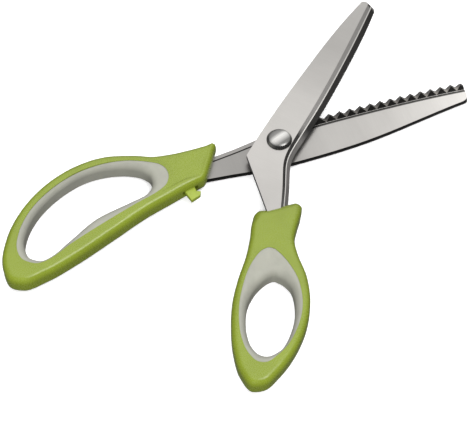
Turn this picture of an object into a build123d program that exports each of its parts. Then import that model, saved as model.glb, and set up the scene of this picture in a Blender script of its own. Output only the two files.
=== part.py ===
from build123d import *
import math
import os

# ---------------------------------------------------------------------------
# Pinking shears, lying flat and part open.  Millimetres.
# +Z is the pivot axis, the origin is on that axis midway between the blades,
# and +X runs along the rear blade towards its tip.
# The rear half (rear blade and finger handle) is drawn in place.  The front
# half (front blade and thumb handle) is drawn closed, then turned open.
# ---------------------------------------------------------------------------

# Driving dimensions
open_angle = 43.0            # degrees from the closed drawing pose to the open rest pose
stop_short = 2.0             # the handles meet this many degrees before the drawing pose
blade_thickness = 2.6
flat_z = -1.35               # mating face of the rear blade
edge_band = 4.4              # width of the ground band along the toothed edge
tooth_pitch = 5.0
tooth_height = 2.5
first_crest_radius = 19.2    # from the pivot axis to the rear blade's first tooth crest
last_tooth_radius = 101.7
tooth_gap = 0.10             # between the two toothed surfaces
tooth_start = 16.7           # along the blade, from the pivot axis
land_width = 1.0             # level top of the teeth
rib_sink = 0.2               # how far the toothed rib's foot is sunk into the flat
rib_outer = 0.35             # outer and inner side of the rib's foot, from the edge
rib_inner = 2.75
tooth_relief = 0.6           # how far the front blade's tooth wall leans in
slope_foot = 1.65            # depths below the flat where the ground slopes change
slope_step = 1.55
slope_foot_inset = 2.7
slope_step_inset = 2.2
channel_inner = 2.9          # outer side of the channel, from the edge
channel_depth = 0.35
channel_outer = 4.0          # inner side of the channel, from the edge
corner_top_share = 0.45      # how much of the tip's width each rounded corner takes
corner_low_share = 0.40

pad_radius = 7.0             # raised pad round the pivot hole
pad_sink = 0.6
washer_radius = 6.5
washer_thickness = 0.5
face_gap = 0.03
pivot_radius = 3.0
sleeve_radius = 4.2
pivot_clearance = 0.05
head_radius = 6.0
head_top_radius = 5.1
head_height = 2.2
head_edge = 0.5              # rounding of the head's upper rim
nut_radius = 5.2
nut_flange = 0.75
nut_slot_width = 1.2
nut_slot_depth = 0.4
spring_thickness = 0.3

handle_half = 5.0            # half the thickness of both handles
handle_edge = 2.8            # rounding of the handles' outer edges
grip_half = 4.8
grip_edge = 1.1              # rounding of the soft grips' hole edges
panel_depth = 0.6            # recess in the finger handle's neck

latch_half = 1.15            # half the thickness of the lock latch
slot_half = 1.35             # half the height of the slots that it swings in
latch_x, latch_y = -47.0, -8.0
latch_boss = 2.2
latch_boss_room = 0.4
latch_tip_edge = 0.5
latch_pin_radius = 1.0
latch_pin_half = 4.4

outer_z = flat_z - blade_thickness


# ---------------------------------------------------------------------------
# Curves shared by the pieces
# ---------------------------------------------------------------------------

def closed_face(*lines):
    """Face inside a chain of curves that meet end to end."""
    return make_face(Wire([edge for line in lines for edge in line.edges()]))


def at_height(face, z):
    return Pos(0, 0, z) * face


def toward(start, end, length):
    """Point `length` away from start on the way to end."""
    share = length / math.hypot(end[0] - start[0], end[1] - start[1])
    return (start[0] + share * (end[0] - start[0]), start[1] + share * (end[1] - start[1]))


def rounded_slab(face, half, radius):
    """Plate of twice the half thickness with both of its rims rounded."""
    slab = extrude(at_height(face, -half), 2 * half)
    rims = slab.edges().filter_by(lambda e: abs(abs(e.center().Z) - half) < 0.01)
    return fillet(rims, radius)


# ---------------------------------------------------------------------------
# Blades, drawn with the mating face up, the tip along +X and the teeth on +Y
# ---------------------------------------------------------------------------

# Toothed edge from tang end to tip, and the inner border of its ground band
rear_edge = [(-53, 1.5), (-29, 4.2), (-17.5, 5.6), (-9, 6.9), (2, 7.9), (20, 8.7),
             (44, 8.5), (70, 7.7), (95.6, 6.0)]
rear_border = [(-53, -1.2), (-29.5, 1.3), (-18, 2.6), (-10, 3.6), (1, 3.9), (20, 4.3),
               (44, 4.1), (70, 3.3), (95.2, 1.6)]
# Spine from tip to tang end
rear_spine = [(95.0, -2.6), (74.5, -5.3), (42, -9.7), (15, -10.9), (-8, -10.6)]
rear_tang = [(-8, -10.6), (-27, -8.1), (-52, -5.5)]

front_edge = [(-50, 26.5), (-30, 19.9), (-17.5, 14.4), (-7.5, 10.2), (3, 9.5), (22, 9.8),
              (48, 8.8), (74, 6.9), (95.8, 4.3)]
front_border = [(-50.8, 23.8), (-31.2, 17.1), (-19, 11.6), (-9.2, 7.3), (1, 6.0), (22, 5.5),
                (47.5, 4.3), (73, 2.3), (95.5, 0.3)]
front_spine = [(95.2, -3.0), (72, -6.1), (46, -7.9), (17, -9.2), (-15, -9.2)]
front_tang = [(-15, -9.2), (-36.5, 12.0), (-45, 20)]


def band_points(edge, border, inset):
    """Points of a curve that lies `inset` inside the toothed edge."""
    share = inset / edge_band
    return [(e[0] + share * (b[0] - e[0]), e[1] + share * (b[1] - e[1]))
            for e, b in zip(edge, border)]


def blade_outline(edge, border, spine, tang, inset):
    """Closed outline of a blade, with its toothed side moved in by `inset`."""
    cut = band_points(edge, border, inset)
    top = cut[-1]
    low = spine[0]
    tip_width = math.hypot(top[0] - low[0], top[1] - low[1])
    before_top = toward(top, cut[-2], corner_top_share * tip_width)
    after_top = toward(top, low, corner_top_share * tip_width)
    before_low = toward(low, top, corner_low_share * tip_width)
    after_low = toward(low, spine[1], corner_low_share * tip_width)
    return closed_face(
        Spline(*(cut[:-1] + [before_top])),
        Bezier(before_top, top, after_top),
        Line(after_top, before_low),
        Bezier(before_low, low, after_low),
        Spline(*([after_low] + spine[1:])),
        Polyline(*tang),
        Line(tang[-1], cut[0]))


def band_strip(edge, border, near, far):
    """Strip along the toothed edge between two distances from it."""
    outer = band_points(edge, border, near)
    inner = band_points(edge, border, far)
    return closed_face(Spline(*outer), Line(outer[-1], inner[-1]),
                       Spline(*inner[::-1]), Line(inner[0], outer[0]))


def tooth_rings(phase):
    """Space above the V-shaped teeth, as rings round the pivot axis.

    Because the teeth are rings, the two blades mesh at every opening angle."""
    count = math.ceil((last_tooth_radius - first_crest_radius) / tooth_pitch) + 1
    start = first_crest_radius - tooth_pitch + phase
    crest = tooth_height / 2 - tooth_gap / 2
    root = -tooth_height / 2 - tooth_gap / 2
    above = 2 * tooth_height
    zigzag = []
    for k in range(count):
        radius = start + k * tooth_pitch
        zigzag.append((radius, 0, crest))
        zigzag.append((radius + tooth_pitch / 2, 0, root))
    roof = [(zigzag[-1][0], 0, above), (start, 0, above), zigzag[0]]
    return revolve(make_face(Polyline(*(zigzag + roof))), Axis.Z)


def make_blade(edge, border, spine, tang, relief, phase, bore_radius):
    """One blade with its tang, toothed rib, channel, pivot pad and pivot hole."""
    levels = [(outer_z, edge_band), (flat_z - slope_foot, slope_foot_inset),
              (flat_z - slope_step, slope_step_inset), (flat_z, 0)]
    faces = [at_height(blade_outline(edge, border, spine, tang, inset), z)
             for z, inset in levels]
    plate = loft(faces[:2], ruled=True)
    for lower, upper in zip(faces[1:-1], faces[2:]):
        plate = plate + loft([lower, upper], ruled=True)
    channel = at_height(band_strip(edge, border, channel_inner, channel_outer),
                        flat_z - channel_depth)
    plate = plate - extrude(channel, 1.0)

    foot = at_height(band_strip(edge, border, rib_outer, rib_inner), flat_z - rib_sink)
    land = at_height(band_strip(edge, border, relief, relief + land_width), tooth_height / 2)
    tip_limit = at_height(blade_outline(edge, border, spine, tang, 0), flat_z - rib_sink)
    rib = loft([foot, land], ruled=True) & extrude(tip_limit, 2 * tooth_height)
    ahead = Pos(tooth_start + 100, 0, 0) * Box(200, 100, 100)
    rib = (rib & ahead) - tooth_rings(phase)

    pad_top = -washer_thickness / 2
    pad_low = flat_z - pad_sink
    pad = Pos(0, 0, (pad_low + pad_top) / 2) * Cylinder(pad_radius, pad_top - pad_low)
    return plate + rib + pad - Cylinder(bore_radius, 20)


rear_blade = make_blade(rear_edge, rear_border, rear_spine, rear_tang, 0, 0, sleeve_radius)

# The front blade is turned over onto the rear one, half a tooth further out
front_blade = Rot(180, 0, 0) * make_blade(front_edge, front_border, front_spine, front_tang,
                                          tooth_relief, tooth_pitch / 2,
                                          pivot_radius + pivot_clearance)
front_blade = Pos(0, 0, face_gap) * front_blade


# ---------------------------------------------------------------------------
# Pivot: flanged sleeve nut from the back, screw from the front
# ---------------------------------------------------------------------------

spring_washer = (Pos(0, 0, outer_z - spring_thickness / 2)
                 * (Cylinder(nut_radius, spring_thickness)
                    - Cylinder(sleeve_radius, spring_thickness)))

flange_top = outer_z - spring_thickness
sleeve_top = -washer_thickness / 2
flange = Pos(0, 0, flange_top - nut_flange / 2) * Cylinder(nut_radius, nut_flange)
sleeve = (Pos(0, 0, (sleeve_top + flange_top) / 2)
          * Cylinder(sleeve_radius, sleeve_top - flange_top))
nut_slot = (Pos(0, 0, flange_top - nut_flange + nut_slot_depth / 2)
            * Box(3 * nut_radius, nut_slot_width, nut_slot_depth))
pivot_nut = flange + sleeve - nut_slot - Cylinder(pivot_radius, 20)

thrust_washer = (Cylinder(washer_radius, washer_thickness)
                 - Cylinder(pivot_radius + pivot_clearance, washer_thickness))

head_bottom = -outer_z + 2 * face_gap
head_top = -outer_z + head_height
head = loft([at_height(make_face(Circle(head_radius).edges()), head_bottom),
             at_height(make_face(Circle(head_top_radius).edges()), head_top)])
head = fillet(head.edges().group_by(Axis.Z)[-1], head_edge)
shank_bottom = flange_top - nut_flange + nut_slot_depth
shank = (Pos(0, 0, (head_bottom + shank_bottom) / 2)
         * Cylinder(pivot_radius, head_bottom - shank_bottom))
pivot_screw = head + shank


# ---------------------------------------------------------------------------
# Finger handle: long bow moulded round the rear tang, with its soft grip
# ---------------------------------------------------------------------------

finger_mouth_top = (-28.3, 9.1)
finger_mouth_low = (-38.4, -8.9)
finger_upper = [(-31.6, 8.9), (-40, 8.8), (-49, 9.2), (-58.0, 10.6), (-67.9, 14.2), (-80.0, 17.3),
                (-94.1, 16.4), (-109.3, 10.9), (-122.6, 1.5), (-133.4, -11.9), (-138.6, -26.8),
                (-137.4, -34.4), (-132.0, -37.3), (-121.5, -36.2), (-106.6, -31.9),
                (-87.9, -24.9), (-68.9, -17.6), (-57.5, -14.3), (-49.5, -12.0), (-41.4, -9.9)]
finger_mouth_a = (-29.6, 6.0)
finger_mouth_b = (-36.8, -6.0)
finger_outline = closed_face(
    Spline(*finger_upper),
    Bezier(finger_upper[-1], finger_mouth_low, finger_mouth_b),
    Bezier(finger_mouth_b, (-32.6, 0.4), finger_mouth_a),
    Bezier(finger_mouth_a, finger_mouth_top, finger_upper[0]))

finger_border = [(-54.8, -2.0), (-59.0, 5.1), (-66.0, 9.0), (-74.8, 11.8), (-83.4, 12.6),
                 (-91.7, 12.0), (-100.5, 9.5), (-108.1, 6.2), (-115.2, 2.0), (-120.5, -2.8),
                 (-125.3, -8.5), (-129.0, -15.5), (-130.3, -22.8), (-127.3, -28.2),
                 (-122.0, -30.2), (-112.6, -27.2), (-102.2, -22.8), (-92.0, -19.6),
                 (-80.2, -15.7), (-69.9, -12.6), (-60.5, -9.6)]
finger_hole = [(-62.7, -1.3), (-65.3, 4.2), (-71.0, 7.8), (-77.5, 10.0), (-84.0, 10.8),
               (-91.0, 10.5), (-98.1, 8.9), (-105.9, 5.4), (-114.0, 0.2), (-119.8, -5.3),
               (-124.0, -11.0), (-126.8, -18.5), (-125.8, -25.0), (-120.4, -27.6),
               (-112.0, -24.8), (-105.2, -20.7), (-97.8, -16.5), (-90.2, -13.4),
               (-82.9, -11.4), (-76.0, -10.6), (-69.0, -9.4), (-64.3, -6.0)]
finger_panel = [(-34.4, 5.4), (-38.1, -0.4), (-41.9, -7.0), (-50.0, -7.3), (-55.5, -8.6),
                (-53.0, -4.8), (-52.6, -1.0), (-54.5, 3.6), (-57.5, 7.3), (-47.0, 6.6)]

finger_opening = make_face(Spline(*finger_border, periodic=True).edges())
finger_hole_face = make_face(Spline(*finger_hole, periodic=True).edges())
panel_face = make_face(Polyline(*finger_panel, close=True).edges())

finger_handle = rounded_slab(finger_outline, handle_half, handle_edge)
finger_handle = finger_handle - extrude(at_height(finger_opening, -2 * handle_half), 4 * handle_half)
finger_handle = finger_handle - extrude(at_height(panel_face, handle_half - panel_depth), handle_half)
finger_handle = finger_handle - rear_blade


def soft_grip(border_face, hole_face):
    """Lining of a finger hole, with the rims of its hole rounded."""
    lining = extrude(at_height(border_face, -grip_half), 2 * grip_half)
    hole = extrude(at_height(hole_face, -2 * grip_half), 4 * grip_half)
    rim_length = hole_face.edges()[0].length
    lining = lining - hole
    rims = lining.edges().filter_by(
        lambda e: abs(abs(e.center().Z) - grip_half) < 0.01 and abs(e.length - rim_length) < 0.5)
    return fillet(rims, grip_edge)


finger_grip = soft_grip(finger_opening, finger_hole_face)


# ---------------------------------------------------------------------------
# Thumb handle: ring moulded round the front tang, with its soft grip
# ---------------------------------------------------------------------------

thumb_sweep = [(-43.0, -9.0), (-50.3, -11.7), (-62.8, -15.8), (-75.7, -18.5), (-87.6, -22.1),
               (-98.1, -27.2), (-107.9, -33.6), (-116.2, -41.6), (-119.2, -48.2),
               (-115.9, -53.3), (-107.8, -56.0), (-94.0, -57.3), (-81.5, -55.7), (-70.1, -51.5),
               (-59.7, -44.6), (-50.8, -35.4), (-46.3, -31.7), (-39.5, -29.2), (-32.0, -27.3)]
thumb_mouth_left = (-39.5, -8.2)
thumb_mouth_right = (-23.6, -24.2)
thumb_mouth_a = (-29.3, -18.4)
thumb_mouth_b = (-37.3, -10.4)
thumb_outline = closed_face(
    Spline(*thumb_sweep, tangents=[(-3.5, -0.8), (8.4, 3.1)]),
    Bezier(thumb_sweep[-1], thumb_mouth_right, thumb_mouth_a),
    Line(thumb_mouth_a, thumb_mouth_b),
    Bezier(thumb_mouth_b, thumb_mouth_left, thumb_sweep[0]))

thumb_border = [(-55.2, -24.8), (-56.6, -31.2), (-62.5, -40.6), (-67.4, -45.4), (-72.8, -49.0),
                (-79.5, -51.8), (-85.9, -53.3), (-93.0, -53.6), (-99.5, -52.6), (-105.6, -50.2),
                (-108.5, -45.5), (-106.5, -40.1), (-98.9, -32.2), (-92.9, -28.3),
                (-87.9, -25.6), (-81.1, -23.1), (-74.4, -21.6), (-66.5, -20.6), (-59.2, -21.2)]
thumb_hole = [(-73.2, -45.5), (-69.1, -42.3), (-66.0, -37.9), (-65.4, -33.5), (-68.2, -29.4),
              (-72.6, -27.7), (-78.0, -27.1), (-83.5, -27.7), (-91.6, -31.1), (-96.0, -33.6),
              (-99.9, -36.8), (-102.4, -40.1), (-103.7, -43.8), (-102.9, -47.7),
              (-99.4, -50.7), (-92.4, -51.7), (-85.8, -50.7), (-79.3, -48.6)]

thumb_opening = make_face(Spline(*thumb_border, periodic=True).edges())
thumb_hole_face = make_face(Spline(*thumb_hole, periodic=True).edges())

thumb_handle = rounded_slab(thumb_outline, handle_half, handle_edge)
thumb_handle = thumb_handle - extrude(at_height(thumb_opening, -2 * handle_half), 4 * handle_half)
thumb_handle = thumb_handle - front_blade
thumb_grip = soft_grip(thumb_opening, thumb_hole_face)


# ---------------------------------------------------------------------------
# Lock latch: hook on a pin in the finger handle's neck.  Closed, its foot
# swings under a lip inside the thumb handle's neck.
# ---------------------------------------------------------------------------

latch_pivot = Pos(latch_x, latch_y, 0)
arm = make_face(Polyline((-49.2, -8.4), (-49.9, -11.8), (-48.4, -17.5), (-43.7, -15.9),
                         (-42.8, -14.0), (-44.7, -13.1), (-44.9, -8.2), close=True).edges())
latch_lever = extrude(at_height(arm, -latch_half), 2 * latch_half)
latch_lever = latch_lever + latch_pivot * Cylinder(latch_boss, 2 * latch_half)
tip_edges = latch_lever.edges().filter_by(Axis.Z).filter_by(lambda e: e.center().Y < -13)
latch_lever = fillet(tip_edges, latch_tip_edge)
latch_lever = latch_lever - latch_pivot * Cylinder(latch_pin_radius + pivot_clearance, 10)
latch_pin = latch_pivot * Cylinder(latch_pin_radius, 2 * latch_pin_half)

# Slot in the finger handle that the lever swings in, and the hole for its pin
slot_face = make_face(Polyline((-49.8, -8.4), (-50.9, -12.0), (-50.9, -20), (-42.4, -20),
                               (-43.0, -9.5), (-44.2, -8.2), close=True).edges())
finger_slot = extrude(at_height(slot_face, -slot_half), 2 * slot_half)
finger_slot = finger_slot + latch_pivot * Cylinder(latch_boss + latch_boss_room, 2 * slot_half)
finger_handle = finger_handle - finger_slot
finger_handle = finger_handle - latch_pivot * Cylinder(latch_pin_radius, 2 * latch_pin_half)

# Pocket in the thumb handle: the path the hook comes in by, and the room
# beside it where the hook's foot swings under the lip.  It is laid out with
# the handles shut against each other.
entry_near = 44.6
entry_far = 51.8
entry_depth = 21.4
reach = 80.0
entry = Cylinder(entry_far, 2 * slot_half) - Cylinder(entry_near, 2 * slot_half)
entry_edge = (-reach * math.cos(math.radians(entry_depth)),
              -reach * math.sin(math.radians(entry_depth)))
entry_wedge = make_face(Polyline((0, 0), entry_edge, (-reach, -5), (-reach, 5),
                                 close=True).edges())
entry = entry & extrude(at_height(entry_wedge, -slot_half), 2 * slot_half)
room_face = make_face(Polyline((-49, -11.7), (-40.0, -11.7), (-40.0, -15.6), (-43.0, -18.6),
                               (-49, -18.6), close=True).edges())
room = extrude(at_height(room_face, -slot_half), 2 * slot_half)
pocket = Rot(0, 0, -stop_short) * (entry + room)
thumb_handle = thumb_handle - pocket


# ---------------------------------------------------------------------------
# Open the front half and write every piece
# ---------------------------------------------------------------------------

turned_open = Rot(0, 0, open_angle)
pieces = {
    "rear_blade": rear_blade,
    "finger_handle": finger_handle,
    "finger_grip": finger_grip,
    "pivot_screw": pivot_screw,
    "pivot_nut": pivot_nut,
    "spring_washer": spring_washer,
    "thrust_washer": thrust_washer,
    "latch_pin": latch_pin,
    "latch_lever": latch_lever,
    "front_blade": turned_open * front_blade,
    "thumb_handle": turned_open * thumb_handle,
    "thumb_grip": turned_open * thumb_grip,
}

os.makedirs("parts", exist_ok=True)
for name, shape in pieces.items():
    export_step(shape, f"parts/{name}.step")
    print(name, round(shape.volume, 1), len(shape.solids()))
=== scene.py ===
import math

import bmesh
import bpy
import numpy as np
from mathutils import Matrix, Vector


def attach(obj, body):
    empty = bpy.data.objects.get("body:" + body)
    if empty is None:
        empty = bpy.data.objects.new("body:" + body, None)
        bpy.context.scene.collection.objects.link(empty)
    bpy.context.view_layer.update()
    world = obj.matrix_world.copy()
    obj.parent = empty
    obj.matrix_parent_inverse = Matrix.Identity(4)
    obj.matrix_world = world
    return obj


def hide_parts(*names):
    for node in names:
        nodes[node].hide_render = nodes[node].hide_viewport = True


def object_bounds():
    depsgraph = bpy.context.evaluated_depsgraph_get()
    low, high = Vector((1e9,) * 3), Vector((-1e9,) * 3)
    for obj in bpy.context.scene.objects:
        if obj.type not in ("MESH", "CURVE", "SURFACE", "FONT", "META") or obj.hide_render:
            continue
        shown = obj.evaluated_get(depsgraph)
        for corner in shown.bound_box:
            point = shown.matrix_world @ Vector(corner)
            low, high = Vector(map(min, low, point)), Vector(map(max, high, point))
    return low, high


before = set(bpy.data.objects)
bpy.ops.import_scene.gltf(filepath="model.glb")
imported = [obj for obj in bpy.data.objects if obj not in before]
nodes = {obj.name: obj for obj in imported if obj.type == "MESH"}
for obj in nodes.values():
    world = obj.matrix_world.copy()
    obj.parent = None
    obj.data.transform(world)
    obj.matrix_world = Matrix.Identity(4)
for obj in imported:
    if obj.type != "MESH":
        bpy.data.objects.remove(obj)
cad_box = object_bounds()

mm = 0.001
open_angle = math.radians(43)      # from closed to the rest pose


# ---- Blades --------------------------------------------------------------
# Two stainless blanks, ground flat and brushed across their length.  A band
# along the toothed edge is ground down in two slopes, and the teeth are
# milled as rings round the pivot so that they mesh at every angle.

def shader(material):
    """The tree of a new material and its one surface shader."""
    tree = material.node_tree
    return tree, tree.nodes["Principled BSDF"]


def new_material(name):
    material = bpy.data.materials.new(name)
    material.use_nodes = True
    return material


def add(tree, kind, **values):
    """A new node; values set its inputs by name, or its own settings."""
    made = tree.nodes.new(kind)
    for key, value in values.items():
        if hasattr(made, key):
            setattr(made, key, value)
        else:
            made.inputs[key.replace("_", " ").title()].default_value = value
    return made


def ramp(tree, stops, source):
    """A colour ramp fed from a socket; stops are (place, grey or colour)."""
    made = tree.nodes.new("ShaderNodeValToRGB")
    elements = made.color_ramp.elements
    while len(elements) < len(stops):
        elements.new(0.5)
    for element, (place, colour) in zip(elements, stops):
        element.position = place
        grey = not hasattr(colour, "__len__")
        element.color = (colour, colour, colour, 1) if grey else (*colour, 1)
    tree.links.new(source, made.inputs["Fac"])
    return made


def multiply(tree, first, second):
    """The socket of two colours multiplied together."""
    made = add(tree, "ShaderNodeMix", data_type="RGBA", blend_type="MULTIPLY")
    made.inputs["Factor"].default_value = 1.0
    tree.links.new(first, made.inputs[6])
    tree.links.new(second, made.inputs[7])
    return made.outputs[2]


# The rear blade's painted shade is laid between these heights, and both blades' painted sheen along
# this reach.
painted_shade_heights = (-0.0040, -0.0013)     # rear blade's outer face to its mating face
painted_sheen_reach = (-0.05, 0.10)            # along a blade, from its tang to its tip


def brushed_steel(name, turn, tone, painted_shade_stops, painted_sheen_stops):
    """Steel brushed across a blade that lies at `turn` from the X axis.

    The shade stops paint shade by height, from the outer face of the rear blade up, and the sheen
    stops paint a sheen, lighter and darker, along the blade, from its tang to its tip. Faces are
    painted by their slope too: painted shade on the walls, slopes and bevel, and a painted highlight
    on the ledge."""
    material = new_material(name)
    tree, surface = shader(material)
    link = tree.links.new
    place = add(tree, "ShaderNodeTexCoord")
    along = add(tree, "ShaderNodeMapping", vector_type="TEXTURE")
    along.inputs["Rotation"].default_value = (0, 0, turn)
    link(place.outputs["Object"], along.inputs["Vector"])
    fine = add(tree, "ShaderNodeMapping")
    fine.inputs["Scale"].default_value = (5200, 60, 300)
    link(along.outputs["Vector"], fine.inputs["Vector"])
    strokes = add(tree, "ShaderNodeTexNoise", scale=1.0, detail=4.0, roughness=0.6)
    link(fine.outputs["Vector"], strokes.inputs["Vector"])
    broad = add(tree, "ShaderNodeMapping")
    broad.inputs["Scale"].default_value = (60, 30, 60)
    link(along.outputs["Vector"], broad.inputs["Vector"])
    patches = add(tree, "ShaderNodeTexNoise", scale=1.0, detail=3.0, roughness=0.55)
    link(broad.outputs["Vector"], patches.inputs["Vector"])

    # how far a face is turned from level sets its painted light: painted shade on the walls, the
    # ground slopes and the bevel, a painted highlight on the ledge
    parts = add(tree, "ShaderNodeSeparateXYZ")
    link(place.outputs["Normal"], parts.inputs["Vector"])
    level = add(tree, "ShaderNodeMath", operation="ABSOLUTE")
    link(parts.outputs["Z"], level.inputs[0])
    wall_painted_shade = tuple(0.16 * t for t in tone)
    slope = tuple(0.15 * t for t in tone)
    bevel = tuple(0.74 * t for t in tone)
    ledge_painted_highlight = tuple(1.12 * t for t in tone)
    painted_light_by_facing = ramp(tree, [(0.0, wall_painted_shade), (0.60, wall_painted_shade), (0.66, tone), (0.76, tone), (0.79, slope),
                         (0.84, slope), (0.855, bevel), (0.90, bevel), (0.93, ledge_painted_highlight),
                         (0.985, ledge_painted_highlight), (0.992, tone), (1.0, tone)], level.outputs[0])
    worn = ramp(tree, [(0.30, 0.92), (0.70, 1.0)], patches.outputs["Fac"])
    grain_and_painted_streak = ramp(tree, [(0.25, 0.93), (0.75, 1.0)], strokes.outputs["Fac"])
    # Painted sheen: the blade's colour made lighter and darker from tang to tip, standing in for its
    # reflection.
    lengthways = add(tree, "ShaderNodeSeparateXYZ")
    link(along.outputs["Vector"], lengthways.inputs["Vector"])
    reach = add(tree, "ShaderNodeMapRange")
    reach.inputs["From Min"].default_value = painted_sheen_reach[0]
    reach.inputs["From Max"].default_value = painted_sheen_reach[1]
    link(lengthways.outputs["X"], reach.inputs["Value"])
    painted_sheen = ramp(tree, painted_sheen_stops, reach.outputs["Result"])
    # Painted shade by height: the rear blade's sunk channel floor is darkened.
    height = add(tree, "ShaderNodeMapRange")
    height.inputs["From Min"].default_value = painted_shade_heights[0]
    height.inputs["From Max"].default_value = painted_shade_heights[1]
    upright = add(tree, "ShaderNodeSeparateXYZ")
    link(place.outputs["Object"], upright.inputs["Vector"])
    link(upright.outputs["Z"], height.inputs["Value"])
    painted_channel_shade = ramp(tree, painted_shade_stops, height.outputs["Result"])
    colour = painted_light_by_facing.outputs["Color"]
    for layer in (worn, grain_and_painted_streak, painted_channel_shade, painted_sheen):
        colour = multiply(tree, colour, layer.outputs["Color"])
    link(colour, surface.inputs["Base Color"])
    rough = add(tree, "ShaderNodeMapRange")
    rough.inputs["To Min"].default_value = 0.30
    rough.inputs["To Max"].default_value = 0.38
    link(strokes.outputs["Fac"], rough.inputs["Value"])
    link(rough.outputs["Result"], surface.inputs["Roughness"])
    bump = add(tree, "ShaderNodeBump", strength=0.05)
    bump.inputs["Distance"].default_value = 0.00004
    link(strokes.outputs["Fac"], bump.inputs["Height"])
    link(bump.outputs["Normal"], surface.inputs["Normal"])
    surface.inputs["Metallic"].default_value = 1.0
    return material


steel_tone = (0.545, 0.528, 0.505)
# Painted shade on the rear blade's sunk channel floor, by height.
channel_shade = [(0.0, 1.0), (0.60, 1.0), (0.70, 0.22), (0.92, 0.22), (0.95, 1.0)]


def dress(node, material):
    """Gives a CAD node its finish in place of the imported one."""
    nodes[node].data.materials.clear()
    nodes[node].data.materials.append(material)


# The rear blade gets painted shade on its channel floor and a painted sheen along it; the front
# blade gets only a painted sheen.
dress("rear_blade", brushed_steel("brushed_steel_rear", 0.0, steel_tone, channel_shade,
                                  [(0.0, 0.70), (0.30, 0.52), (0.42, 0.80), (0.70, 0.95),
                                   (1.0, 1.42)]))
dress("front_blade", brushed_steel("brushed_steel_front", open_angle, steel_tone,
                                   [(0.0, 1.0), (1.0, 1.0)],
                                   [(0.0, 0.84), (0.28, 1.05), (0.42, 0.98), (0.75, 0.72),
                                    (1.0, 0.76)]))


# ---- Pivot ----------------------------------------------------------------
# A turned steel screw goes through both blades into a flanged sleeve nut.
# A spring washer under the nut keeps the blades pressed together, and a
# plastic thrust washer spaces them.

# The screw head's bright streak and its dark sides are a painted highlight and painted shade, across
# a line this far from the X axis.
painted_highlight_turn = 21.0                      # degrees from the X axis
painted_highlight_reach = 0.006                    # radius of the screw's head
even_sheen = [(0.0, 1.0), (1.0, 1.0)]
head_painted_highlight = [(0.0, 0.22), (0.24, 0.30), (0.44, 1.0), (0.54, 1.15), (0.70, 0.42), (1.0, 0.24)]


def turned_steel(name, tone, roughness, painted_highlight_stops):
    """Lathe-turned steel with faint rings round the pivot axis.

    The streak stops paint a bright streak across it with darker sides: a painted highlight and
    painted shade."""
    material = new_material(name)
    tree, surface = shader(material)
    link = tree.links.new
    place = add(tree, "ShaderNodeTexCoord")
    rings = add(tree, "ShaderNodeTexWave", wave_type="RINGS", rings_direction="Z",
                scale=420.0, distortion=1.2, detail=2.0)
    link(place.outputs["Object"], rings.inputs["Vector"])
    spots = add(tree, "ShaderNodeTexNoise", scale=300.0, detail=2.0)
    link(place.outputs["Object"], spots.inputs["Vector"])
    colour = ramp(tree, [(0.25, tuple(0.94 * t for t in tone)), (0.75, tone)],
                  spots.outputs["Fac"])
    # Painted highlight: a bright band through the pivot axis, with painted shade to either side.
    painted_highlight_way = add(tree, "ShaderNodeMapping", vector_type="TEXTURE")
    painted_highlight_way.inputs["Rotation"].default_value = (0, 0, math.radians(painted_highlight_turn))
    link(place.outputs["Object"], painted_highlight_way.inputs["Vector"])
    across = add(tree, "ShaderNodeSeparateXYZ")
    link(painted_highlight_way.outputs["Vector"], across.inputs["Vector"])
    off_painted_highlight = add(tree, "ShaderNodeMapRange")
    off_painted_highlight.inputs["From Min"].default_value = -painted_highlight_reach
    off_painted_highlight.inputs["From Max"].default_value = painted_highlight_reach
    link(across.outputs["Y"], off_painted_highlight.inputs["Value"])
    grain_and_painted_streak = ramp(tree, painted_highlight_stops, off_painted_highlight.outputs["Result"])
    link(multiply(tree, colour.outputs["Color"], grain_and_painted_streak.outputs["Color"]),
         surface.inputs["Base Color"])
    bump = add(tree, "ShaderNodeBump", strength=0.03)
    bump.inputs["Distance"].default_value = 0.00005
    link(rings.outputs["Fac"], bump.inputs["Height"])
    link(bump.outputs["Normal"], surface.inputs["Normal"])
    rough = add(tree, "ShaderNodeMapRange")
    rough.inputs["To Min"].default_value = roughness - 0.05
    rough.inputs["To Max"].default_value = roughness + 0.08
    link(spots.outputs["Fac"], rough.inputs["Value"])
    link(rough.outputs["Result"], surface.inputs["Roughness"])
    surface.inputs["Metallic"].default_value = 1.0
    return material


def finish_mesh(bm, name, material, smooth_angle):
    """Writes a bmesh into a new object, with smooth faces and sharp edges."""
    mesh = bpy.data.meshes.new(name)
    for face in bm.faces:
        face.smooth = True
    for edge in bm.edges:
        if len(edge.link_faces) == 2 and edge.calc_face_angle(0) > smooth_angle:
            edge.smooth = False
    bm.to_mesh(mesh)
    bm.free()
    mesh.materials.append(material)
    piece = bpy.data.objects.new(name, mesh)
    bpy.context.scene.collection.objects.link(piece)
    return piece


def prism(outline, half):
    """Solid of an outline in millimetres, from half below to half above the middle plane."""
    bm = bmesh.new()
    sole = bm.faces.new([bm.verts.new((x * mm, y * mm, -half * mm)) for x, y in outline])
    raised = bmesh.ops.extrude_face_region(bm, geom=[sole])
    lifted = [v for v in raised["geom"] if isinstance(v, bmesh.types.BMVert)]
    bmesh.ops.translate(bm, verts=lifted, vec=(0, 0, 2 * half * mm))
    bmesh.ops.recalc_face_normals(bm, faces=bm.faces)
    return bm


def arc(centre, radius, first, last, steps):
    """Points of an arc in millimetres, between two angles in degrees."""
    angles = [math.radians(first + (last - first) * k / steps) for k in range(steps + 1)]
    return [(centre[0] + radius * math.cos(a), centre[1] + radius * math.sin(a)) for a in angles]


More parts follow.
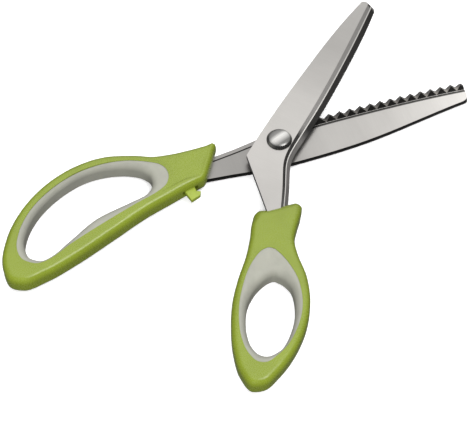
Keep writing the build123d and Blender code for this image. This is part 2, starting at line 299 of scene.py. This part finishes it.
def carve(bm, outline, half, turn):
    """Cuts a prism, turned about the pivot, out of a closed bmesh."""
    cutter_bm = prism(outline, half)
    bmesh.ops.rotate(cutter_bm, verts=cutter_bm.verts, cent=(0, 0, 0),
                     matrix=Matrix.Rotation(turn, 3, "Z"))
    holders = []
    for source in (bm, cutter_bm):
        mesh = bpy.data.meshes.new("carving")
        source.to_mesh(mesh)
        source.free()
        holders.append(bpy.data.objects.new("carving", mesh))
        bpy.context.scene.collection.objects.link(holders[-1])
    body, cutter = holders
    cut = body.modifiers.new("cut", "BOOLEAN")
    cut.operation = "DIFFERENCE"
    cut.solver = "EXACT"
    cut.object = cutter
    bpy.context.view_layer.update()
    carved = body.evaluated_get(bpy.context.evaluated_depsgraph_get()).to_mesh()
    result = bmesh.new()
    result.from_mesh(carved)
    for holder in holders:
        bpy.data.objects.remove(holder)
    bmesh.ops.remove_doubles(result, verts=result.verts, dist=1e-7)
    return result


def turn_on_lathe(profile, steps):
    """Spins an open profile of (radius, z) in millimetres round the Z axis."""
    bm = bmesh.new()
    points = [bm.verts.new((r * mm, 0, z * mm)) for r, z in profile]
    edges = [bm.edges.new(pair) for pair in zip(points, points[1:])]
    bmesh.ops.spin(bm, geom=points + edges, axis=(0, 0, 1), cent=(0, 0, 0), dvec=(0, 0, 0),
                   angle=2 * math.pi, steps=steps, use_merge=True)
    bmesh.ops.remove_doubles(bm, verts=bm.verts, dist=1e-7)
    bmesh.ops.recalc_face_normals(bm, faces=bm.faces)
    return bm


head_low = 4.01
screw_profile = [(0, 6.15), (1.2, 6.13), (2.4, 6.04), (3.4, 5.90), (4.2, 5.71), (4.8, 5.50),
                 (5.1, 5.34), (5.25, 5.15), (5.55, 4.7), (5.9, 4.36), (5.94, 4.2),
                 (5.88, head_low), (3.0, head_low), (3.0, -4.6), (2.7, -4.6), (0, -4.6)]
screw = finish_mesh(turn_on_lathe(screw_profile, 96), "pivot_screw_turned",
                    turned_steel("turned_steel", (0.62, 0.61, 0.59), 0.24, head_painted_highlight),
                    math.radians(24))
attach(screw, "rear_half")
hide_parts("pivot_screw")
dress("pivot_nut", turned_steel("turned_nut_steel", (0.55, 0.54, 0.52), 0.34, even_sheen))
dress("spring_washer", turned_steel("spring_steel", (0.30, 0.30, 0.31), 0.30, even_sheen))
dress("latch_pin", turned_steel("ground_pin_steel", (0.50, 0.50, 0.50), 0.28, even_sheen))


def moulded_plastic(name, colour, shade, roughness, grain, spread):
    """Moulded plastic or rubber with a faint mottle and a fine skin."""
    material = new_material(name)
    tree, surface = shader(material)
    link = tree.links.new
    place = add(tree, "ShaderNodeTexCoord")
    cloud = add(tree, "ShaderNodeTexNoise", scale=spread, detail=5.0, roughness=0.6)
    link(place.outputs["Object"], cloud.inputs["Vector"])
    tint = ramp(tree, [(0.32, shade), (0.68, colour)], cloud.outputs["Fac"])
    link(tint.outputs["Color"], surface.inputs["Base Color"])
    skin = add(tree, "ShaderNodeTexNoise", scale=2600.0, detail=3.0)
    link(place.outputs["Object"], skin.inputs["Vector"])
    bump = add(tree, "ShaderNodeBump", strength=grain)
    bump.inputs["Distance"].default_value = 0.00005
    link(skin.outputs["Fac"], bump.inputs["Height"])
    link(bump.outputs["Normal"], surface.inputs["Normal"])
    rough = add(tree, "ShaderNodeMapRange")
    rough.inputs["To Min"].default_value = roughness - 0.05
    rough.inputs["To Max"].default_value = roughness + 0.06
    link(skin.outputs["Fac"], rough.inputs["Value"])
    link(rough.outputs["Result"], surface.inputs["Roughness"])
    return material


dress("thrust_washer", moulded_plastic("washer_plastic", (0.80, 0.79, 0.75), (0.72, 0.71, 0.67),
                                       0.5, 0.1, 400.0))


# ---- Handles ---------------------------------------------------------------
# Each handle is hard lime green plastic moulded round its blade's tang.  It
# is a rounded band round the finger or thumb hole that runs out into a neck.
# Both are placed by stations round the hole: a point on the outer contour,
# one on the border with the soft grip, and one on the hole itself.

finger_stations = [
    ((-32.9, 0.0), (-54.6, -1.6), (-62.6, -2.0)),
    ((-30.4, 4.4), (-54.8, 0.2), (-62.6, -0.6)),
    ((-28.6, 7.6), (-55.2, 1.6), (-62.8, 0.6)),
    ((-29.6, 8.9), (-55.4, 2.0), (-62.9, 0.9)),
    ((-33.5, 8.8), (-56.0, 2.9), (-63.2, 1.6)),
    ((-41.0, 8.8), (-57.4, 4.5), (-64.1, 2.9)),
    ((-49.0, 9.2), (-60.6, 6.5), (-66.0, 5.0)),
    ((-58.0, 10.6), (-65.5, 8.9), (-69.6, 7.2)),
    ((-67.9, 14.2), (-72.0, 11.2), (-74.0, 9.0)),
    ((-80.0, 17.3), (-81.5, 12.6), (-82.0, 10.6)),
    ((-94.1, 16.4), (-93.0, 11.8), (-92.4, 10.2)),
    ((-109.3, 10.9), (-106.2, 7.2), (-104.8, 5.8)),
    ((-122.6, 1.5), (-118.2, -0.6), (-115.6, -1.2)),
    ((-133.4, -11.9), (-127.2, -11.5), (-123.6, -10.4)),
    ((-138.6, -26.0), (-130.4, -21.5), (-126.8, -19.0)),
    ((-137.6, -34.0), (-129.0, -26.4), (-126.0, -24.6)),
    ((-132.5, -37.2), (-125.4, -29.4), (-122.6, -27.4)),
    ((-121.5, -36.2), (-119.0, -29.9), (-117.2, -27.2)),
    ((-106.6, -31.9), (-106.5, -24.8), (-107.0, -21.9)),
    ((-87.9, -24.9), (-90.5, -19.1), (-92.6, -14.3)),
    ((-68.9, -17.6), (-73.0, -13.5), (-75.0, -10.5)),
    ((-57.5, -14.3), (-63.0, -10.7), (-67.5, -8.8)),
    ((-49.5, -12.0), (-58.2, -8.4), (-64.6, -6.6)),
    ((-42.5, -10.3), (-56.2, -6.4), (-63.4, -4.9)),
    ((-39.4, -9.3), (-55.4, -5.0), (-62.9, -3.9)),
    ((-37.9, -7.6), (-55.0, -4.0), (-62.8, -3.3)),
    ((-35.6, -4.2), (-54.7, -2.8), (-62.6, -2.6)),
]


def closed_loops(stations, count):
    """Smooth closed curves through the stations' points, one per column."""
    knots = np.array(stations, float)
    outer = knots[:, 0]
    gaps = np.linalg.norm(np.roll(outer, -1, 0) - outer, axis=1)
    start = np.concatenate([[0], np.cumsum(gaps)])
    before = np.roll(gaps, 1)[:, None, None]
    after = gaps[:, None, None]
    into = (knots - np.roll(knots, 1, 0)) / before
    out = (np.roll(knots, -1, 0) - knots) / after
    slope = (into * after + out * before) / (before + after)
    place = np.arange(count) / count * start[-1]
    index = np.searchsorted(start, place, side="right") - 1
    step = gaps[index][:, None, None]
    t = ((place - start[index]) / gaps[index])[:, None, None]
    near, far = knots[index], np.roll(knots, -1, 0)[index]
    near_slope, far_slope = slope[index] * step, np.roll(slope, -1, 0)[index] * step
    return (near * (2 * t**3 - 3 * t**2 + 1) + near_slope * (t**3 - 2 * t**2 + t)
            + far * (3 * t**2 - 2 * t**3) + far_slope * (t**3 - t**2))


def distance_to(points, loop):
    """Distance of each point from a closed curve, in the plane."""
    ends = np.roll(loop, -1, 0)
    best = np.full(len(points), 1e9)
    for a, b in zip(loop, ends):
        edge = b - a
        share = np.clip((points - a) @ edge / (edge @ edge), 0, 1)
        gap = np.linalg.norm(points - a - share[:, None] * edge, axis=1)
        best = np.minimum(best, gap)
    return best


def ease(value, low, high):
    """Smooth step from 0 at low to 1 at high."""
    t = np.clip((value - low) / (high - low), 0, 1)
    return t * t * (3 - 2 * t)


def wrap_ring(round_count, rows, place):
    """A grid bent round into a closed ring; place(u, row) gives its points in millimetres."""
    bm = bmesh.new()
    bmesh.ops.create_grid(bm, x_segments=round_count, y_segments=rows, size=1.0)
    flat = np.array([v.co for v in bm.verts])
    column = np.rint((flat[:, 0] + 1) / 2 * round_count).astype(int) % round_count
    row = np.rint((flat[:, 1] + 1) / 2 * rows).astype(int) % rows
    points = place(column, row) * mm
    for vert, co in zip(bm.verts, points):
        vert.co = co
    bmesh.ops.remove_doubles(bm, verts=bm.verts, dist=1e-6)
    bmesh.ops.recalc_face_normals(bm, faces=bm.faces)
    return bm


round_count = 300
top_rows = 30
wall_rows = 4
half_thick = 5.0
wall_half = 1.5                         # upright part of the outer wall
row_crowding = 1.35                     # closer rows towards the outer edge
edge_round = 3.3
edge_fullness = 2.2                     # 2 is a round edge, more is squarer


def handle_place(loops, edge_width, edge_power, relief):
    """Puts the grid's rows on the handle: top face, outer wall, underside, inner wall."""
    outer, border = loops[:, 0], loops[:, 1]
    rows = 2 * top_rows + wall_rows

    def place(column, row):
        on_top = row <= top_rows
        on_wall = (row > top_rows) & (row < top_rows + wall_rows)
        mirrored = np.where(on_top, row, rows - row)
        share = np.clip(mirrored / top_rows, 0, 1)
        share = np.where(on_wall, 1.0, 1 - (1 - share) ** row_crowding)
        flat = border[column] + (outer[column] - border[column]) * share[:, None]
        depth = distance_to(flat, outer)
        width, power = edge_width(flat), edge_power(flat)
        rise = np.clip(1 - depth / width, 0, 1)
        crown = (1 - rise ** power) ** (1 / power)
        height = wall_half + (half_thick - wall_half) * crown
        height_top = height - relief(flat, depth)
        wall_z = wall_half * (1 - 2 * (row - top_rows) / wall_rows)
        z = np.where(on_wall, wall_z, np.where(on_top, height_top, -height))
        return np.column_stack([flat, z])

    return wrap_ring(round_count, rows, place)


def always(value):
    return lambda flat: np.full(len(flat), float(value))


finger_loops = closed_loops(finger_stations, round_count)
ridge_point = np.array([-34.5, 0.6])
ridge_normal = np.array([-0.848, 0.530])
panel_drop = 0.5
rail_bend = -49.0                       # the rail runs level up to here, then slopes
rail_level = -7.9
rail_slope = 0.26


def finger_relief(flat, depth):
    """The neck's sunk panel, between the collar, the lower rail and the grip."""
    past_collar = (flat - ridge_point) @ ridge_normal
    x, y = flat[:, 0], flat[:, 1]
    rail_line = np.where(x > rail_bend, rail_level,
                         rail_level + rail_slope * (x - rail_bend))
    from_grip = distance_to(flat, finger_loops[:, 1])
    inside = (ease(past_collar, 0.6, 1.1) * ease(y - rail_line, -0.2, 0.2)
              * ease(from_grip, 0.6, 1.8) * ease(x, -64, -58))
    return panel_drop * inside


green = moulded_plastic("lime_green_plastic", (0.186, 0.238, 0.021), (0.164, 0.209, 0.018),
                        0.27, 0.06, 60.0)
finger_mesh = handle_place(finger_loops, always(edge_round), always(edge_fullness),
                           finger_relief)
latch_pin = (-47.0, -8.0)
slot_half = 1.35
slot_boss = 2.6                         # room round the lever's boss
finger_slot = ([(-49.8, -8.4), (-50.9, -12.0), (-50.9, -20.0), (-42.4, -20.0), (-43.0, -9.5),
                (-44.2, -8.2)] + arc(latch_pin, slot_boss, 0, 180, 12))
finger_mesh = carve(finger_mesh, finger_slot, slot_half, 0.0)
finger = finish_mesh(finger_mesh, "finger_handle_moulded", green, math.radians(70))
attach(finger, "rear_half")
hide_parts("finger_handle")

thumb_stations = [
    ((-33.3, -16.0), (-55.0, -25.3), (-65.4, -32.4)),
    ((-37.1, -12.1), (-55.1, -24.2), (-65.5, -31.6)),
    ((-38.7, -9.7), (-55.5, -23.4), (-65.8, -31.0)),
    ((-40.8, -8.9), (-56.2, -22.7), (-66.3, -30.5)),
    ((-45.5, -9.8), (-57.9, -21.6), (-67.5, -29.7)),
    ((-54.0, -13.1), (-61.5, -20.7), (-69.5, -28.7)),
    ((-62.8, -15.9), (-67.5, -20.6), (-73.0, -27.7)),
    ((-75.7, -18.6), (-76.0, -22.0), (-78.5, -27.2)),
    ((-87.6, -22.2), (-86.0, -25.1), (-85.0, -28.1)),
    ((-98.1, -27.3), (-94.5, -29.3), (-91.8, -31.2)),
    ((-107.9, -33.6), (-101.5, -34.3), (-97.8, -35.0)),
    ((-116.2, -41.6), (-106.8, -40.6), (-102.4, -40.1)),
    ((-119.2, -48.2), (-108.5, -45.6), (-103.7, -44.0)),
    ((-115.9, -53.3), (-107.0, -49.3), (-102.9, -47.7)),
    ((-107.8, -56.0), (-102.0, -51.8), (-99.0, -50.8)),
    ((-94.0, -57.3), (-93.0, -53.6), (-92.4, -51.7)),
    ((-81.5, -55.7), (-82.0, -52.5), (-84.0, -50.3)),
    ((-70.1, -51.5), (-72.8, -49.0), (-77.0, -47.6)),
    ((-59.7, -44.6), (-64.0, -42.4), (-70.8, -43.8)),
    ((-50.8, -35.4), (-58.2, -34.4), (-67.0, -39.8)),
    ((-45.6, -31.3), (-56.4, -30.8), (-65.9, -37.0)),
    ((-38.5, -28.9), (-55.6, -28.6), (-65.5, -35.4)),
    ((-31.4, -27.2), (-55.2, -27.2), (-65.4, -34.4)),
    ((-27.2, -25.3), (-55.0, -26.7), (-65.4, -34.0)),
    ((-26.9, -22.7), (-54.9, -26.4), (-65.4, -33.6)),
    ((-29.1, -20.2), (-54.9, -26.0), (-65.4, -33.1)),
]
thumb_loops = closed_loops(thumb_stations, round_count)


def thumb_mouth(flat):
    """1 at the neck's mouth, falling to 0 further back."""
    return ease((flat.sum(axis=1)) * math.sqrt(0.5), -42.0, -37.5)


def plain(flat, depth):
    return np.zeros(len(flat))


mouth_change = 0.7                      # the edge grows wider and flatter at the mouth
thumb_mesh = handle_place(thumb_loops,
                          lambda flat: edge_round + mouth_change * thumb_mouth(flat),
                          lambda flat: edge_fullness - mouth_change * thumb_mouth(flat), plain)
bmesh.ops.rotate(thumb_mesh, verts=thumb_mesh.verts, cent=(0, 0, 0),
                 matrix=Matrix.Rotation(open_angle, 3, "Z"))
way_in_far, way_in_near = 51.8, 44.6    # from the pivot axis
way_in_from, way_in_to = 176.4, 201.4
latch_way_in = (arc((0, 0), way_in_far, way_in_from, way_in_to, 12)
                + arc((0, 0), way_in_near, way_in_to, way_in_from, 12))
latch_room = [(-49, -11.7), (-49, -18.6), (-43.0, -18.6), (-40.0, -15.6), (-40.0, -11.7)]
shut_to_rest = math.radians(41)         # the handles meet this far from rest
thumb_mesh = carve(thumb_mesh, latch_way_in, slot_half, shut_to_rest)
thumb_mesh = carve(thumb_mesh, latch_room, slot_half, shut_to_rest)
thumb = finish_mesh(thumb_mesh, "thumb_handle_moulded", green, math.radians(70))
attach(thumb, "front_half")
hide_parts("thumb_handle")


# ---- Soft grips --------------------------------------------------------------
# Warm grey rubber lines both holes.  It is moulded into the handle, a touch
# below the green, and rolls over softly into the hole.

lip_rows = 18
grip_wall_rows = 10
grip_top = 4.75
roll_radius = 3.4                       # of the upper lip into the hole
under_roll = 1.1
lip_crowding = 1.5                      # closer rows towards the hole
dish_reach = (0.3, 5.0)                 # where the lip sinks, from its border


def grip_place(loops, dish):
    """Puts the grid's rows on a grip: lip, hole wall, underside lip, outer wall."""
    border, hole = loops[:, 1], loops[:, 2]
    rows = 2 * lip_rows + grip_wall_rows
    wall_top = grip_top - roll_radius
    wall_low = under_roll - grip_top

    def place(column, row):
        on_top = row <= lip_rows
        on_wall = (row > lip_rows) & (row < lip_rows + grip_wall_rows)
        mirrored = np.where(on_top, row, rows - row)
        share = np.clip(mirrored / lip_rows, 0, 1)
        share = np.where(on_wall, 1.0, 1 - (1 - share) ** lip_crowding)
        flat = border[column] + (hole[column] - border[column]) * share[:, None]
        depth = np.where(share > 0.999, 0.0, distance_to(flat, hole))
        rise = np.clip(1 - depth / roll_radius, 0, 1)
        under_rise = np.clip(1 - depth / under_roll, 0, 1)
        sink = dish * ease(distance_to(flat, border), *dish_reach)
        height = wall_top + roll_radius * np.sqrt(1 - rise**2) - sink
        underside = wall_low - under_roll * np.sqrt(1 - under_rise**2)
        down = (row - lip_rows) / grip_wall_rows
        wall_z = (wall_top - sink) * (1 - down) + wall_low * down
        z = np.where(on_wall, wall_z, np.where(on_top, height, underside))
        return np.column_stack([flat, z])

    return wrap_ring(round_count, rows, place)


rubber = moulded_plastic("grey_rubber", (0.290, 0.290, 0.246), (0.262, 0.262, 0.224),
                         0.62, 0.25, 140.0)
finger_lining = grip_place(finger_loops, 0.25)
finger_soft = finish_mesh(finger_lining, "finger_grip_soft", rubber, math.radians(60))
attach(finger_soft, "rear_half")
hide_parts("finger_grip")

thumb_lining = grip_place(thumb_loops, 0.9)
bmesh.ops.rotate(thumb_lining, verts=thumb_lining.verts, cent=(0, 0, 0),
                 matrix=Matrix.Rotation(open_angle, 3, "Z"))
thumb_soft = finish_mesh(thumb_lining, "thumb_grip_soft", rubber, math.radians(60))
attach(thumb_soft, "front_half")
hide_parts("thumb_grip")


# ---- Lock latch -----------------------------------------------------------
# A small hook of the same green plastic, in a slot under the finger
# handle's neck.  It swings on a steel pin.

latch_half = 1.15
latch_boss = 2.15
pin_hole = 1.05
latch_edge = 0.3
latch_outline = ([(-49.9, -11.8), (-48.4, -17.5), (-43.7, -15.9), (-42.8, -14.0),
                  (-44.7, -13.1)]
                 + arc(latch_pin, latch_boss, -10, 190, 14))
latch_bm = prism(latch_outline, latch_half)
bmesh.ops.bevel(latch_bm, geom=latch_bm.edges[:], offset=latch_edge * mm, affect="EDGES", segments=3,
                profile=0.5, material=-1)
latch_bm = carve(latch_bm, arc(latch_pin, pin_hole, 0, 345, 23), 2 * latch_half, 0.0)
latch_green = moulded_plastic("latch_green_plastic", (0.265, 0.335, 0.036), (0.235, 0.295, 0.031),
                              0.34, 0.08, 90.0)
latch = finish_mesh(latch_bm, "latch_lever_moulded", latch_green, math.radians(50))
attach(latch, "latch")
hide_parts("latch_lever")


# ---- Studio ----------------------------------------------------------------
# A pale table top that casts no light back, a large soft glow above and
# behind with a small bright one overhead, two soft lamps, and a camera that
# looks down on the shears.

floor_mesh = bpy.data.meshes.new("table_top")
floor_bm = bmesh.new()
bmesh.ops.create_grid(floor_bm, x_segments=1, y_segments=1, size=4.0)
bmesh.ops.translate(floor_bm, verts=floor_bm.verts, vec=(0, 0, cad_box[0][2] - 0.0002))
floor_bm.to_mesh(floor_mesh)
floor_bm.free()
table_top = bpy.data.objects.new("table_top", floor_mesh)
bpy.context.scene.collection.objects.link(table_top)
table_white = new_material("table_white")
tree, surface = shader(table_white)
surface.inputs["Base Color"].default_value = (0.9, 0.9, 0.9, 1)
surface.inputs["Roughness"].default_value = 0.6
surface.inputs["Emission Color"].default_value = (1, 1, 1, 1)
surface.inputs["Emission Strength"].default_value = 0.35
floor_mesh.materials.append(table_white)
table_top.visible_diffuse = False
table_top.visible_glossy = False

world = bpy.data.worlds.new("studio")
bpy.context.scene.world = world
world.use_nodes = True
sky = world.node_tree
background = sky.nodes["Background"]
facing = sky.nodes.new("ShaderNodeTexCoord")
softbox_way = Vector((0.34, 0.50, 0.80)).normalized()
towards = sky.nodes.new("ShaderNodeVectorMath")
towards.operation = "DOT_PRODUCT"
towards.inputs[1].default_value = softbox_way
sky.links.new(facing.outputs["Generated"], towards.inputs[0])
glow = ramp(sky, [(0.0, 0.16), (0.45, 0.16), (0.66, 0.50), (0.86, 1.15), (1.0, 1.35)],
            towards.outputs["Value"])
strip_way = Vector((0.30, -0.18, 0.93)).normalized()
near_strip = sky.nodes.new("ShaderNodeVectorMath")
near_strip.operation = "DOT_PRODUCT"
near_strip.inputs[1].default_value = strip_way
sky.links.new(facing.outputs["Generated"], near_strip.inputs[0])
strip_glow = ramp(sky, [(0.0, 0.0), (0.972, 0.0), (0.984, 1.0), (1.0, 1.0)],
                  near_strip.outputs["Value"])
lit = sky.nodes.new("ShaderNodeMix")
lit.data_type = "RGBA"
lit.blend_type = "ADD"
lit.inputs[7].default_value = (7.0, 7.0, 7.0, 1)
sky.links.new(strip_glow.outputs["Color"], lit.inputs["Factor"])
sky.links.new(glow.outputs["Color"], lit.inputs[6])
sky.links.new(lit.outputs[2], background.inputs["Color"])
background.inputs["Strength"].default_value = 1.0


def area_light(name, place, aim, size, power, glossy):
    lamp = bpy.data.lights.new(name, "AREA")
    lamp.size = size
    lamp.energy = power
    holder = bpy.data.objects.new(name, lamp)
    holder.location = place
    holder.rotation_euler = (Vector(aim) - Vector(place)).to_track_quat("-Z", "Y").to_euler()
    holder.visible_glossy = glossy
    bpy.context.scene.collection.objects.link(holder)


area_light("top_light", (0.1, 0.25, 1.1), (-0.02, -0.02, 0), 1.2, 6.5, False)
area_light("front_fill", (-0.5, -0.9, 0.7), (-0.02, -0.02, 0), 0.9, 15.0, False)

lens = bpy.data.cameras.new("camera")
lens.lens = 122.55
lens.sensor_width = 36.0
lens.shift_y = -0.0026
camera = bpy.data.objects.new("camera", lens)
camera.location = (-0.1626, -0.4139, 0.5993)
camera.rotation_euler = (math.radians(33.88), 0, math.radians(-18.8))
bpy.context.scene.collection.objects.link(camera)
bpy.context.scene.camera = camera
bpy.context.scene.view_settings.view_transform = "Standard"
